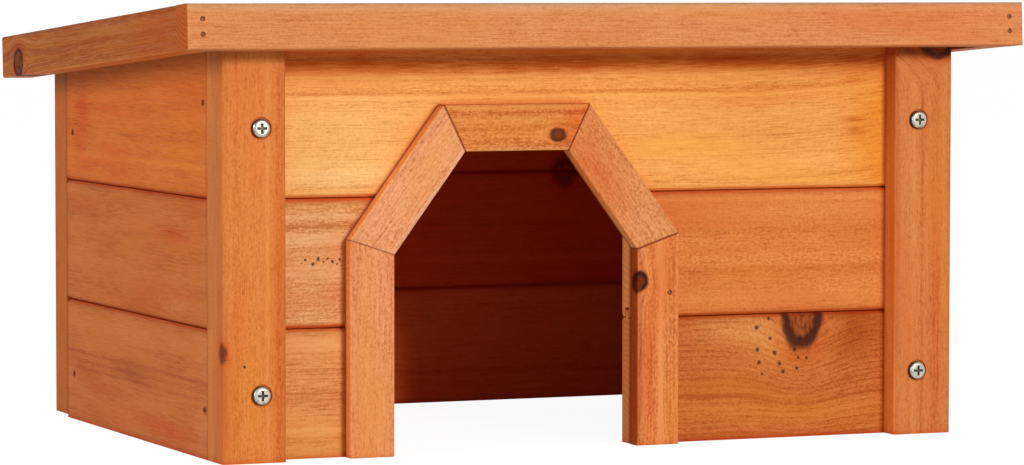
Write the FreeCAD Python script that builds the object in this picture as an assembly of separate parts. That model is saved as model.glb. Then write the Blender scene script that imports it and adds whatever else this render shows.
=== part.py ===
import FreeCAD, Part
import math
import os

os.makedirs("parts", exist_ok=True)
V = FreeCAD.Vector

# Wooden hut for small rodents: walls of tongued boards between corner posts, an open
# base, a doorway with slanted shoulders and a mitred surround, and a lid roof on hinges.
# Millimetres. X runs left to right, Y from the front to the back, Z upwards.

# Walls: three boards share the height at the front eaves, the top one a little taller
wall_width = 353.0
wall_depth = 243.0
wall_height = 176.5
board_t = 10.0
top_board_more = 7.0
post_d = 20.0
post_rebate = 7.0
post_ease = 1.5
rear_post_lift = 1.4
batten_w = 15.0
batten_d = 20.0
batten_top_drop = 14.0

# Tongue and groove along the boards
tongue_t = 3.2
tongue_l = 3.5
board_ease = 1.2

# Roof, measured in its own sloping plane
roof_slope = 3.65
side_overhang = 23.5
front_overhang = 24.0
rear_overhang = 5.5
fascia_h = 19.5
fascia_t = 14.0
fascia_ease = 1.0
deck_t = 10.0
deck_ledge = 5.0

# Doorway and its surround: the notch is cut into the top board, and the boards stay
# a little behind the surround's inner edges, further back along the slants
door_margin = 30.5
door_w = 116.0
door_head_w = 49.2
door_notch = 19.5
door_shoulder_rise = 31.5
door_setback = 0.6
slant_setback = 3.8
trim_w = 20.5
trim_t = 7.3
trim_ease = 0.8

# Hinges
hinge_len = 22.0
hinge_edge = 1.0
leaf_w = 14.0
leaf_t = 1.2
knuckle_r = 2.5
pin_r = 1.2
hinge_screw_spread = 13.0

# Screws
post_screw_wall = 4.5
post_screw_low = 29.2
post_screw_drop = 32.6
rear_screw_drop = 25.0
post_screw_head_r = 4.1
post_screw_head_h = 2.5
post_screw_round = 1.5
post_screw_r = 2.0
post_screw_cross = 2.3
post_screw_ring = 0.8
post_screw_ring_depth = 0.7
hinge_screw_head_r = 2.2
hinge_screw_head_h = 1.1
hinge_screw_r = 1.1
hinge_screw_l = 14.0
hinge_screw_cross = 1.2
cross_depth = 0.6
screw_cover = 4.0

# Nails
nail_head_r = 1.1
nail_head_h = 0.8
nail_r = 0.7
nail_sink = 0.6
nail_cover = 2.5
side_nail_front = 5.0
side_nail_rear = 10.0
nail_below_screw = 7.8
nail_above_screw = 10.6
rear_nail_above_screw = 9.7
jamb_nail_edge = 4.6
jamb_nail_rise = 11.65

# Clearances
seam_gap = 0.6
tongue_gap = 0.7
end_gap = 0.3
lid_gap = 0.3
mitre_gap = 0.2
hinge_gap = 0.25
pin_clear = 0.05
hole_clear = 0.05

# Heights
board_cover = (wall_height - top_board_more) / 3
seam_low = board_cover
seam_high = 2 * board_cover
door_h = seam_high + door_notch
door_shoulder = seam_low + door_shoulder_rise

# Widths
half_wall = wall_width / 2
half_roof = half_wall + side_overhang
post_screw_inset = board_t + batten_w / 2
post_w = post_screw_inset + post_screw_wall + post_rebate
board_end = half_wall - post_w + post_rebate - end_gap
door_x = post_w + door_margin + trim_w + door_w / 2 - half_wall

# Roof plane: u runs down the slope to the back, n stands square on it
slope = math.radians(roof_slope)
roof_front = -front_overhang
roof_rear = wall_depth / math.cos(slope) + rear_overhang
deck_under = fascia_h - deck_t
wall_top = deck_under - lid_gap
roof_back = V(0, math.cos(slope), -math.sin(slope))
roof_up = V(0, math.sin(slope), math.cos(slope))

# Depths, with the middle of the whole hut at zero
reach_front = roof_front * math.cos(slope)
reach_rear = roof_rear * math.cos(slope) + fascia_h * math.sin(slope)
y_front = -(reach_front + reach_rear) / 2
y_back = y_front + wall_depth
y_boards = y_front + post_d - board_t
y_inner = y_front + post_d
y_back_boards = y_back - post_d + board_t
y_back_inner = y_back - post_d
y_trim = y_boards - trim_t

# Cutting blocks reach this far past what they cut
beyond = wall_depth

sides = [("left", -1), ("right", 1)]
parts = {}
groups = {}


def box(x0, x1, y0, y1, z0, z1):
    return Part.makeBox(x1 - x0, y1 - y0, z1 - z0, V(x0, y0, z0))


def prism(corners, run):
    return Part.Face(Part.makePolygon(corners + corners[:1])).extrude(run)


def rod(start, direction, length, radius):
    return Part.makeCylinder(radius, length, start, direction)


def ease(solid, radius, wanted):
    return solid.makeFillet(radius, [edge for edge in solid.Edges if wanted(edge)])


def mirrored(solid):
    return solid.mirror(V(0, 0, 0), V(1, 0, 0))


def on_roof(solid):
    placed = solid.copy()
    placed.rotate(V(0, 0, 0), V(1, 0, 0), -roof_slope)
    placed.translate(V(0, y_front, wall_height))
    return placed


def roof_point(x, u, n):
    return V(x, y_front, wall_height) + roof_back * u + roof_up * n


above_walls = on_roof(box(-wall_width, wall_width, -beyond, 2 * beyond, wall_top, beyond))


# Boards: a profile runs from the outer face, at depth 0, to the inner face, eased along both at a seam
def board_profile(low, high, has_groove, has_tongue, thickness):
    near = (thickness - tongue_t) / 2
    far = near + tongue_t
    slack = seam_gap / 2
    roof_of_groove = low + tongue_l + tongue_gap
    inner_ease = thickness - board_ease
    profile = []
    if has_groove:
        profile += [(0, low + board_ease), (board_ease, low), (near - slack, low)]
        profile += [(near - slack, roof_of_groove), (far + slack, roof_of_groove), (far + slack, low)]
        profile += [(inner_ease, low), (thickness, low + board_ease)]
    else:
        profile += [(0, low), (thickness, low)]
    if has_tongue:
        profile += [(thickness, high - board_ease), (inner_ease, high)]
        profile += [(far, high), (far, high + tongue_l), (near, high + tongue_l), (near, high)]
        profile += [(board_ease, high), (0, high - board_ease)]
    else:
        profile += [(thickness, high), (0, high)]
    return profile


half_seam = seam_gap / 2
wall_levels = {
    "low": board_profile(0.0, seam_low - half_seam, False, True, board_t),
    "middle": board_profile(seam_low + half_seam, seam_high - half_seam, True, True, board_t),
    "top": board_profile(seam_high + half_seam, seam_high + beyond, True, False, board_t),
}


def cross_board(profile, y_outer, inward):
    corners = [V(-board_end, y_outer + inward * depth, z) for depth, z in profile]
    return prism(corners, V(2 * board_end, 0, 0)).cut(above_walls)


def side_board(profile):
    y0 = y_inner + end_gap
    y1 = y_back_inner - end_gap
    corners = [V(depth - half_wall, y0, z) for depth, z in profile]
    return prism(corners, V(0, y1 - y0, 0)).cut(above_walls)


# Doorway outline, as corners from the left foot round to the right foot
def door_outline(grow, slant_grow):
    rise = math.atan2(door_h - door_shoulder, (door_w - door_head_w) / 2)
    foot_x = door_w / 2 + grow
    shoulder_z = door_shoulder + (slant_grow - grow * math.sin(rise)) / math.cos(rise)
    head_x = door_head_w / 2 + (slant_grow - grow * math.cos(rise)) / math.sin(rise)
    left = [(-foot_x, 0.0), (-foot_x, shoulder_z), (-head_x, door_h + grow)]
    right = [(-x, z) for x, z in reversed(left)]
    return [(door_x + x, z) for x, z in left + right]


doorway = [V(x, y_front - beyond, z) for x, z in door_outline(door_setback, slant_setback)]
doorway[0].z = -beyond
doorway[-1].z = -beyond
opening = prism(doorway, V(0, 1.5 * beyond, 0))

for level, profile in wall_levels.items():
    front = cross_board(profile, y_boards, 1).cut(opening)
    if level == "top":
        parts["front_board_top"] = front
    else:
        left_piece, right_piece = sorted(front.Solids, key=lambda solid: solid.CenterOfMass.x)
        parts["front_board_" + level + "_left"] = left_piece
        parts["front_board_" + level + "_right"] = right_piece
    parts["left_board_" + level] = side_board(profile)
    parts["right_board_" + level] = mirrored(side_board(profile))
    parts["back_board_" + level] = cross_board(profile, y_back_boards, -1)

front_boards = [name for name in parts if name.startswith("front_board")]
back_boards = [name for name in parts if name.startswith("back_board")]


# Corner posts, rebated on the inside for the board ends
def left_post(y_face, y_room, foot):
    solid = box(-half_wall, post_w - half_wall, min(y_face, y_room), max(y_face, y_room), foot, beyond)
    solid = ease(solid, post_ease, lambda edge: abs(edge.CenterOfMass.y - y_face) < post_ease
                 and edge.Length > 2 * post_w)
    cheek = y_boards if y_room > y_face else y_back_boards
    rebate_x = post_w - post_rebate - half_wall
    rebate = box(rebate_x, 0, min(cheek, y_room), max(cheek, y_room), -beyond, 2 * beyond)
    return solid.cut(rebate).cut(above_walls)


parts["front_post_left"] = left_post(y_front, y_inner, 0.0)
parts["rear_post_left"] = left_post(y_back, y_back_inner, rear_post_lift)


# Upright battens inside the corners, short of the roof
def left_batten(y0):
    x0 = board_t - half_wall
    top = roof_point(0, y0 + batten_d - y_front, wall_top).z - batten_top_drop
    return box(x0, x0 + batten_w, y0, y0 + batten_d, 0, top)


parts["front_batten_left"] = left_batten(y_inner)
parts["rear_batten_left"] = left_batten(y_back_inner - batten_d)
for name in ["front_post_", "rear_post_", "front_batten_", "rear_batten_"]:
    parts[name + "right"] = mirrored(parts[name + "left"])


# Doorway surround: five strips mitred together on the face of the boards
trim_names = ["door_jamb_left", "door_slant_left", "door_head", "door_slant_right", "door_jamb_right"]
inner_line = [V(x, y_trim, z) for x, z in door_outline(0.0, 0.0)]
outer_line = [V(x, y_trim, z) for x, z in door_outline(trim_w, trim_w)]


def trim_strip(index):
    run = (inner_line[index + 1] - inner_line[index]).normalize()
    near = run * (0.0 if index == 0 else mitre_gap / 2)
    far = run * (0.0 if index == len(trim_names) - 1 else mitre_gap / 2)
    corners = [outer_line[index] + near, inner_line[index] + near]
    corners += [inner_line[index + 1] - far, outer_line[index + 1] - far]

    def long_front_edge(edge):
        first, last = [vertex.Point for vertex in edge.Vertexes]
        on_face = max(first.y, last.y) < y_trim + trim_t / 2
        return on_face and abs((last - first).normalize().dot(run)) > math.cos(slope)

    return ease(prism(corners, V(0, trim_t, 0)), trim_ease, long_front_edge)


for index, name in enumerate(trim_names):
    parts[name] = trim_strip(index)


# Roof: three fascias round a deck of tongued boards, open at the back edge
ledge_x = half_roof - fascia_t + deck_ledge
ledge_u = roof_front + fascia_t - deck_ledge
deck_room = box(-ledge_x, ledge_x, ledge_u, roof_rear + beyond, deck_under, beyond)

front_strip = box(-half_roof, half_roof, roof_front, roof_front + fascia_t, 0, fascia_h)
front_strip = ease(front_strip, fascia_ease, lambda edge: edge.CenterOfMass.y < roof_front + fascia_ease)
parts["roof_front_fascia"] = on_roof(front_strip.cut(deck_room))

side_strip = box(-half_roof, fascia_t - half_roof, roof_front + fascia_t, roof_rear, 0, fascia_h)
side_strip = ease(side_strip, fascia_ease, lambda edge: edge.CenterOfMass.x < fascia_ease - half_roof
                  and edge.Length > 2 * fascia_h)
parts["roof_left_fascia"] = on_roof(side_strip.cut(deck_room))
parts["roof_right_fascia"] = mirrored(parts["roof_left_fascia"])

deck_names = ["roof_board_front", "roof_board_middle", "roof_board_rear"]
deck_x = ledge_x - end_gap
deck_start = ledge_u + end_gap
deck_cover = (roof_rear - deck_start) / len(deck_names)

for index, name in enumerate(deck_names):
    first = index == 0
    last = index == len(deck_names) - 1
    low = deck_start + index * deck_cover + (0.0 if first else seam_gap / 2)
    high = deck_start + (index + 1) * deck_cover - (0.0 if last else seam_gap / 2)
    profile = board_profile(low, high, not first, not last, deck_t)
    corners = [V(-deck_x, u, fascia_h - depth) for depth, u in profile]
    parts[name] = on_roof(prism(corners, V(2 * deck_x, 0, 0)))


# Hinges: the barrel lies under the deck, just behind the rear posts
barrel_room = knuckle_r + hinge_gap
hinge_n = deck_under - barrel_room
hinge_u = (wall_depth + barrel_room - hinge_n * math.sin(slope)) / math.cos(slope)
hinge_at = roof_point(0, hinge_u, hinge_n)
hinge_x = half_wall - hinge_edge - hinge_len / 2
hinge_x0 = -hinge_x - hinge_len / 2
hinge_x1 = -hinge_x + hinge_len / 2
knuckle_l = (hinge_len - 2 * hinge_gap) / 3
leaf_n = deck_under - leaf_t


def on_axis(x0, x1, radius):
    return rod(V(x0, hinge_at.y, hinge_at.z), V(1, 0, 0), x1 - x0, radius)


def wall_tab(x0, x1):
    return box(x0, x1, y_back, y_back + leaf_t, hinge_at.z - barrel_room, hinge_at.z)


pin_hole = on_axis(hinge_x0, hinge_x1, pin_r + pin_clear)

leaf_top = hinge_at.z - barrel_room
wall_leaf = box(hinge_x0, hinge_x1, y_back, y_back + leaf_t, leaf_top - leaf_w, leaf_top)
for x0, x1 in [(hinge_x0, hinge_x0 + knuckle_l), (hinge_x1 - knuckle_l, hinge_x1)]:
    wall_leaf = wall_leaf.fuse([on_axis(x0, x1, knuckle_r), wall_tab(x0, x1)])
parts["hinge_left_wall_leaf"] = wall_leaf.cut(pin_hole).removeSplitter()

leaf_u = hinge_u - barrel_room
middle_x0 = hinge_x0 + knuckle_l + hinge_gap
middle_x1 = middle_x0 + knuckle_l
roof_leaf = on_roof(box(hinge_x0, hinge_x1, leaf_u - leaf_w, leaf_u, leaf_n, deck_under))
roof_tab = on_roof(box(middle_x0, middle_x1, leaf_u, hinge_u, leaf_n, deck_under))
roof_leaf = roof_leaf.fuse([on_axis(middle_x0, middle_x1, knuckle_r), roof_tab])
parts["hinge_left_roof_leaf"] = roof_leaf.cut(pin_hole).removeSplitter()

parts["hinge_left_pin"] = on_axis(hinge_x0, hinge_x1, pin_r)
for piece in ["wall_leaf", "roof_leaf", "pin"]:
    parts["hinge_right_" + piece] = mirrored(parts["hinge_left_" + piece])

leaf_seat = on_roof(box(hinge_x0 - hinge_gap, hinge_x1 + hinge_gap, leaf_u - leaf_w - hinge_gap, roof_rear,
                        leaf_n - lid_gap, beyond))
parts["rear_post_left"] = parts["rear_post_left"].cut(leaf_seat)
parts["rear_post_right"] = mirrored(parts["rear_post_left"])
parts["back_board_top"] = parts["back_board_top"].cut([leaf_seat, mirrored(leaf_seat)])


# Fasteners join a group of their kind, and their holes are cut in what carries them
def fit_fastener(group, solid, hole, carriers):
    groups.setdefault(group, []).append(solid)
    for name in carriers:
        parts[name] = parts[name].cut(hole)


def cross_recess(crown, direction, arm):
    side = V(1, 0, 0)
    other = direction.cross(side)
    bars = []
    for long_way, short_way in [(side, other), (other, side)]:
        corner = crown - long_way * arm - short_way * (arm / 4) - direction * cross_depth
        length = long_way * (2 * arm)
        width = short_way * (arm / 2)
        bar = prism([corner, corner + length, corner + length + width, corner + width],
                    direction * (2 * cross_depth))
        bars.append(bar)
    return bars[0].fuse(bars[1])


def fit_post_screw(group, face, direction, carriers):
    length = post_d + batten_d - screw_cover
    seat = face + direction * post_screw_ring_depth
    crown = seat - direction * post_screw_head_h
    head = rod(crown, direction, post_screw_head_h, post_screw_head_r)
    head = ease(head, post_screw_round, lambda edge: (edge.CenterOfMass - crown).Length < post_screw_r
                and edge.Closed)
    point_l = 2 * post_screw_r
    shank_l = length - post_screw_ring_depth - point_l
    tip = seat + direction * shank_l
    solid = head.fuse([rod(seat, direction, shank_l, post_screw_r),
                       Part.makeCone(post_screw_r, 0, point_l, tip, direction)]).removeSplitter()
    solid = solid.cut(cross_recess(crown, direction, post_screw_cross))
    ring = rod(face - direction, direction, 1 + post_screw_ring_depth, post_screw_head_r + post_screw_ring)
    hole = ring.fuse(rod(face, direction, length + hole_clear, post_screw_r + hole_clear))
    fit_fastener(group, solid, hole, carriers)


screw_x = half_wall - post_screw_inset
front_screw_high = wall_height - post_screw_drop
rear_screw_high = leaf_top - leaf_w - rear_screw_drop
for side, sign in sides:
    for z in [post_screw_low, front_screw_high]:
        fit_post_screw("front_post_screws", V(sign * screw_x, y_front, z), V(0, 1, 0),
                       ["front_post_" + side, "front_batten_" + side])
    for z in [post_screw_low, rear_screw_high]:
        fit_post_screw("rear_post_screws", V(sign * screw_x, y_back, z), V(0, -1, 0),
                       ["rear_post_" + side, "rear_batten_" + side])


def flat_screw(face, direction, length, grow):
    head = Part.makeCone(hinge_screw_head_r + grow, hinge_screw_r + grow, hinge_screw_head_h, face, direction)
    return head.fuse(rod(face, direction, length + grow, hinge_screw_r + grow)).removeSplitter()


def fit_flat_screw(group, face, direction, length, carriers):
    solid = flat_screw(face, direction, length, 0.0).cut(cross_recess(face, direction, hinge_screw_cross))
    fit_fastener(group, solid, flat_screw(face, direction, length, hole_clear), carriers)


deck_screw_l = leaf_t + deck_t - nail_cover
for side, sign in sides:
    for shift in [-hinge_screw_spread / 2, hinge_screw_spread / 2]:
        x = sign * hinge_x + shift
        wall_face = V(x, y_back + leaf_t, leaf_top - leaf_w / 2)
        fit_flat_screw("hinge_wall_screws", wall_face, V(0, -1, 0), hinge_screw_l,
                       ["hinge_" + side + "_wall_leaf", "rear_post_" + side])
        roof_face = roof_point(x, leaf_u - leaf_w / 2, leaf_n)
        fit_flat_screw("hinge_roof_screws", roof_face, roof_up, deck_screw_l,
                       ["hinge_" + side + "_roof_leaf", "roof_board_rear"])


# Nails end a little short of the far face of what they are driven into
def fit_nail(group, face, direction, length, sink, carriers):
    seat = face + direction * sink
    neck = seat + direction * nail_head_h
    solid = rod(seat, direction, nail_head_h, nail_head_r)
    solid = solid.fuse(rod(neck, direction, length - sink - nail_head_h, nail_r)).removeSplitter()
    hole = rod(face - direction, direction, 1 + sink + nail_head_h, nail_head_r + hole_clear)
    hole = hole.fuse(rod(face, direction, length + hole_clear, nail_r + hole_clear))
    fit_fastener(group, solid, hole, carriers)


side_nail_l = board_t + batten_w - nail_cover
for side, sign in sides:
    for end, y, high in [
        ("front", y_inner + side_nail_front, front_screw_high + nail_above_screw),
        ("rear", y_back_inner - side_nail_rear, rear_screw_high + rear_nail_above_screw),
    ]:
        for level, z in [("low", post_screw_low - nail_below_screw), ("top", high)]:
            fit_nail(side + "_wall_nails", V(sign * half_wall, y, z), V(-sign, 0, 0), side_nail_l, nail_sink,
                     [side + "_board_" + level, end + "_batten_" + side])


# Board ends are nailed to the posts from the room side, the top board twice
def panel_nail_heights(top):
    upper = top - seam_high
    return [seam_low / 2, (seam_low + seam_high) / 2, seam_high + upper / 4, seam_high + 3 * upper / 4]


panel_nail_l = post_d - nail_cover
panel_nail_x = half_wall - post_w + post_rebate / 2
front_top = roof_point(0, post_d, wall_top).z
back_top = roof_point(0, wall_depth - post_d + board_t, wall_top).z
for side, sign in sides:
    for z in panel_nail_heights(front_top):
        fit_nail("front_board_nails", V(sign * panel_nail_x, y_inner, z), V(0, -1, 0), panel_nail_l, 0.0,
                 front_boards + ["front_post_" + side])
    for z in panel_nail_heights(back_top):
        fit_nail("back_board_nails", V(sign * panel_nail_x, y_back_inner, z), V(0, 1, 0), panel_nail_l, 0.0,
                 back_boards + ["rear_post_" + side])

# Surround nails come through from the back of the boards, and one from the front
trim_nail_l = board_t + trim_t - nail_cover
(jamb_x, _), (slant_x0, slant_z0), (slant_x1, slant_z1) = door_outline(trim_w / 2, trim_w / 2)[:3]
slant_lean = (slant_x1 - slant_x0) / (slant_z1 - slant_z0)
trim_nails = [("door_jamb", jamb_x, seam_low / 2), ("door_jamb", jamb_x, (seam_low + door_shoulder) / 2)]
for z in [(slant_z0 + seam_high) / 2, (seam_high + slant_z1) / 2]:
    trim_nails.append(("door_slant", slant_x0 + (z - slant_z0) * slant_lean, z))
for side, sign in sides:
    for strip, x, z in trim_nails:
        back_face = V(door_x + sign * (door_x - x), y_inner, z)
        fit_nail("door_trim_nails", back_face, V(0, -1, 0), trim_nail_l, 0.0,
                 front_boards + [strip + "_" + side])
    back_face = V(door_x + sign * door_head_w / 4, y_inner, door_h + trim_w / 2)
    fit_nail("door_trim_nails", back_face, V(0, -1, 0), trim_nail_l, 0.0, front_boards + ["door_head"])
jamb_nail_x = door_x + door_w / 2 + trim_w - jamb_nail_edge
fit_nail("door_trim_nails", V(jamb_nail_x, y_trim, seam_low + jamb_nail_rise), V(0, 1, 0), trim_nail_l,
         nail_sink, front_boards + ["door_jamb_right"])

# Roof nails: front fascia into the side fascias, deck boards down onto the ledges
fascia_nail_l = 2 * fascia_t
deck_nail_l = fascia_h - nail_cover
for side, sign in sides:
    for n in [fascia_h / 3, 2 * fascia_h / 3]:
        fit_nail("fascia_nails", roof_point(sign * (half_roof - fascia_t / 2), roof_front, n), roof_back,
                 fascia_nail_l, nail_sink, ["roof_front_fascia", "roof_" + side + "_fascia"])
    for index, name in enumerate(deck_names):
        for share in [0.25, 0.75]:
            u = deck_start + (index + share) * deck_cover
            deck_face = roof_point(sign * (ledge_x - deck_ledge / 2), u, fascia_h)
            fit_nail("roof_board_nails", deck_face, -roof_up, deck_nail_l, 0.0,
                     [name, "roof_" + side + "_fascia"])
    deck_face = roof_point(sign * half_roof / 2, ledge_u + deck_ledge / 2, fascia_h)
    fit_nail("roof_board_nails", deck_face, -roof_up, deck_nail_l, 0.0,
             ["roof_board_front", "roof_front_fascia"])

for name, solid in parts.items():
    solid.exportStep("parts/" + name + ".step")
for name, solids in groups.items():
    Part.makeCompound(solids).exportStep("parts/" + name + ".step")

print("exported", len(parts), "pieces and", len(groups), "groups of fasteners")
print("hinge axis at y", round(hinge_at.y, 3), "z", round(hinge_at.z, 3))
print("posts from y", round(y_front, 3), "to", round(y_back, 3), "door centre x", round(door_x, 3))
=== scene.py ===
# %% [markdown]
# # A boarded hut for small rodents
# The real hut is planed softwood, stained honey orange: tongued boards between four corner posts, a doorway
# with slanted shoulders, and a shallow lid roof that swings up on two hinges at the back. The frame already
# holds every board, nail and hinge leaf as a solid of its own, with its edges eased, so nothing is modelled
# twice. Blender's share is what the eye adds: the camera, the light, and wood that looks sawn and stained
# by hand.

# %% Load the frame
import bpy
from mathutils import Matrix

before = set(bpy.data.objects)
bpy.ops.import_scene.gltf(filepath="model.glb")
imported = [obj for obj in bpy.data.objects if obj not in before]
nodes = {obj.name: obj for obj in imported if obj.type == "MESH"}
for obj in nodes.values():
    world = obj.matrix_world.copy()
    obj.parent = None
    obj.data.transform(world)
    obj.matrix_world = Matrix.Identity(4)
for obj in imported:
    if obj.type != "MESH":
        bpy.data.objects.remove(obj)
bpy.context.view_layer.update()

import math
from collections import namedtuple

import bpy
from mathutils import Matrix, Vector

scene = bpy.context.scene

# %% [markdown]
# ## Camera
# The hut was photographed from its front left corner, from a little above its roof, with a long lens: its
# level edges hardly converge. A camera can be turned by eye until it looks right, or worked out from where
# the hut's corners lie in the picture. Here the second was done, so place, turn and lens are plain numbers,
# and the picture needs no shift.

# %% Camera
photo_width = 1024
sensor_width = 36.0
lens_in_pixels = 4327.0
eye = Vector((-0.7844, -1.8560, 0.2065))
yaw, pitch, roll = (math.radians(turn) for turn in (23.061, -3.315, 0.041))

ahead = Vector((math.sin(yaw) * math.cos(pitch), math.cos(yaw) * math.cos(pitch), math.sin(pitch)))
level = Vector((math.cos(yaw), -math.sin(yaw), 0.0))
upright = level.cross(ahead)
right = level * math.cos(roll) + upright * math.sin(roll)
up = upright * math.cos(roll) - level * math.sin(roll)

lens = bpy.data.cameras.new("corner_camera")
lens.sensor_fit = "HORIZONTAL"
lens.sensor_width = sensor_width
lens.lens = lens_in_pixels * sensor_width / photo_width
camera = bpy.data.objects.new("corner_camera", lens)
camera.matrix_world = Matrix.Translation(eye) @ Matrix((right, up, -ahead)).transposed().to_4x4()
scene.collection.objects.link(camera)
scene.camera = camera
scene.view_settings.view_transform = "Standard"
print("lens", round(lens.lens, 1), "mm,", round(eye.length, 2), "m from the hut")

# %% [markdown]
# ## Shader maths as plain sums
# A stained board is many small effects added together, and a node tree drawn by hand for each board would
# be unreadable. One small class wraps a socket instead, so that `1 - mask` or `rings * 0.4` writes its Math
# nodes by itself, and any other node comes from one method.

# %% Signal: a socket that can be added and multiplied
class Signal:
    def __init__(self, tree, socket=None):
        self.tree, self.socket = tree, socket

    def node(self, kind, settings=None, sockets=None, output=0):
        made = self.tree.nodes.new("ShaderNode" + kind)
        for setting, value in (settings or {}).items():
            setattr(made, setting, value)
        for place, value in (sockets or {}).items():
            if isinstance(value, Signal):
                self.tree.links.new(value.socket, made.inputs[place])
            else:
                made.inputs[place].default_value = value
        return Signal(self.tree, made.outputs[output] if len(made.outputs) else None)

    def math(self, operation, *values):
        return self.node("Math", {"operation": operation}, dict(enumerate(values)))

    def __add__(self, other): return self.math("ADD", self, other)
    def __sub__(self, other): return self.math("SUBTRACT", self, other)
    def __mul__(self, other): return self.math("MULTIPLY", self, other)
    def __truediv__(self, other): return self.math("DIVIDE", self, other)
    def __radd__(self, other): return self.math("ADD", other, self)
    def __rsub__(self, other): return self.math("SUBTRACT", other, self)
    def __rmul__(self, other): return self.math("MULTIPLY", other, self)
    def __rtruediv__(self, other): return self.math("DIVIDE", other, self)
    def __neg__(self): return self.math("MULTIPLY", self, -1.0)


def rise(value, low, high):
    return value.node("MapRange", {"interpolation_type": "SMOOTHSTEP"}, {0: value, 1: low, 2: high})


def hump(value, centre, width):
    off = (value - centre) / width
    return value.math("EXPONENT", -(off * off))


def blend(amount, colour, other, how="MIX"):
    settings = {"data_type": "RGBA", "blend_type": how}
    return amount.node("Mix", settings, {0: amount, 6: colour, 7: other}, output=2)


def dot(vector, axis):
    return vector.node("VectorMath", {"operation": "DOT_PRODUCT"}, {0: vector, 1: axis}, output=1)


def new_material(name):
    material = bpy.data.materials.new(name)
    material.use_nodes = True
    material.node_tree.nodes.clear()
    return material, Signal(material.node_tree)


print("signals know", ", ".join(sorted(part for part in vars(Signal) if "__" not in part)))

# %% [markdown]
# ## Where a point lies in its board
# Wood has its own directions: along the grain, across the face, and into the board. Object coordinates are
# the part's own coordinates in metres, and they stay with the piece when the lid swings, so a dot product
# with each direction gives millimetres along, across and in. Noise squeezed along the grain then turns into
# fibres.

# %% Grain directions
right_way, back_way, up_way = Vector((1, 0, 0)), Vector((0, 1, 0)), Vector((0, 0, 1))
roof_fall = math.radians(3.65)
roof_back = Vector((0, math.cos(roof_fall), -math.sin(roof_fall)))
roof_up = Vector((0, math.sin(roof_fall), math.cos(roof_fall)))
slant_left, slant_right = Vector((0.6, 0, 0.8)), Vector((-0.6, 0, 0.8))
millimetres = 1000.0

Grain = namedtuple("Grain", "along across deep")


def reach(name, axis):
    spots = [corner.co.dot(axis) * millimetres for corner in nodes[name].data.vertices]
    return min(spots), max(spots)


def noise(grain, length, width, seed, detail=2.0):
    spot = grain.along.node("CombineXYZ", None, {
        0: grain.along.math("MULTIPLY_ADD", grain.along, 1 / length, seed),
        1: grain.across.math("MULTIPLY_ADD", grain.across, 1 / width, seed),
        2: grain.deep * (1 / width)})
    return spot.node("TexNoise", None, {"Vector": spot, "Scale": 1.0, "Detail": detail})


print("front board, along the grain:", [round(end, 1) for end in reach("front_board_top", right_way)])

# %% [markdown]
# ## Knots
# A knot is the root of a branch: a dark rim of bark, a browner middle with drying cracks, and grain that
# parts and flows round it. A picture of a knot would do for one view only, so each is an ellipsoid in the
# wood instead. Where the same branch crosses an edge it shows on both faces, as it does on the real post
# and jamb. Rim and core say how dark its rim and its middle are, and soft how blurred its outline is.

# %% Knots: how the grain flows round them, and how far a point is from them
Knot = namedtuple("Knot", "along across long wide rim core soft deep thick",
                  defaults=(0.9, 0.3, 0.2, 0.0, 1000.0))
parting, flow_long, flow_wide = 0.9, 2.2, 2.6
ragged_size, ragged_depth = 0.6, 0.45


def flow_round(grain, knots):
    across = grain.across
    for knot in knots:
        aside = knot.wide * parting
        beside = grain.across.math("TANH", (grain.across - knot.across) / aside)
        near = hump(grain.along, knot.along, knot.long * flow_long)
        near = near * hump(grain.across, knot.across, knot.wide * flow_wide)
        across = across - beside * near * aside
    return grain._replace(across=across)


def knot_distance(grain, knot, seed):
    along = (grain.along - knot.along) / knot.long
    across = (grain.across - knot.across) / knot.wide
    deep = (grain.deep - knot.deep) / knot.thick
    ragged = (noise(grain, knot.long * ragged_size, knot.wide * ragged_size, seed) - 0.5) * ragged_depth
    return along.math("SQRT", along * along + across * across + deep * deep) + ragged


print("a knot has", ", ".join(Knot._fields))

# %% [markdown]
# ## Year rings, fibres and flecks
# A tree grows in rings: pale wood in spring, a thin dark line before winter. A board is a slice of them, so
# lines on a face are distances from the heart of the trunk, which lies somewhere off the board. The heart
# is a pair of numbers for each board: far to the side it gives even lines, close behind it gives wide
# arches. Finer than the rings are long threads, short streaks, dark dashes where resin sits, and the fuzz a
# blunt plane leaves; broader than them are clouds and a blush of tone. Each is one noise, stretched by its
# own length and width.

# %% Rings and fibres
drift_long, drift_wide, drift_far = 130.0, 30.0, 10.0


def year_rings(grain, pith, spacing, seed):
    aside, behind = grain.across - pith[0], grain.deep - pith[1]
    radius = aside.math("SQRT", aside * aside + behind * behind)
    drift = (noise(grain, drift_long, drift_wide, seed) - 0.5) * drift_far
    year = radius.math("FRACT", (radius + drift) / spacing)
    return rise(year, 0.2, 0.85) * rise(year, 1.0, 0.9)


Fibres = namedtuple("Fibres", "threads streaks dashes fuzz cloud blush")
thread, streak, dash, nap = (70.0, 0.55), (12.0, 0.7), (5.0, 0.6), (1.3, 0.9)
drifting_cloud, broad_blush = (60.0, 8.0), (110.0, 22.0)


def fibres(grain, seed):
    return Fibres(noise(grain, *thread, seed + 2.6),
                  noise(grain, *streak, seed + 3.1, detail=3.0),
                  rise(noise(grain, *dash, seed + 9.2, detail=1.0), 0.58, 0.72),
                  noise(grain, *nap, seed + 5.7, detail=1.0),
                  noise(grain, *drifting_cloud, seed + 1.3),
                  noise(grain, *broad_blush, seed + 7.9, detail=1.0))


print("fibres, long and wide in millimetres:", thread, streak, dash, nap)

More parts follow.
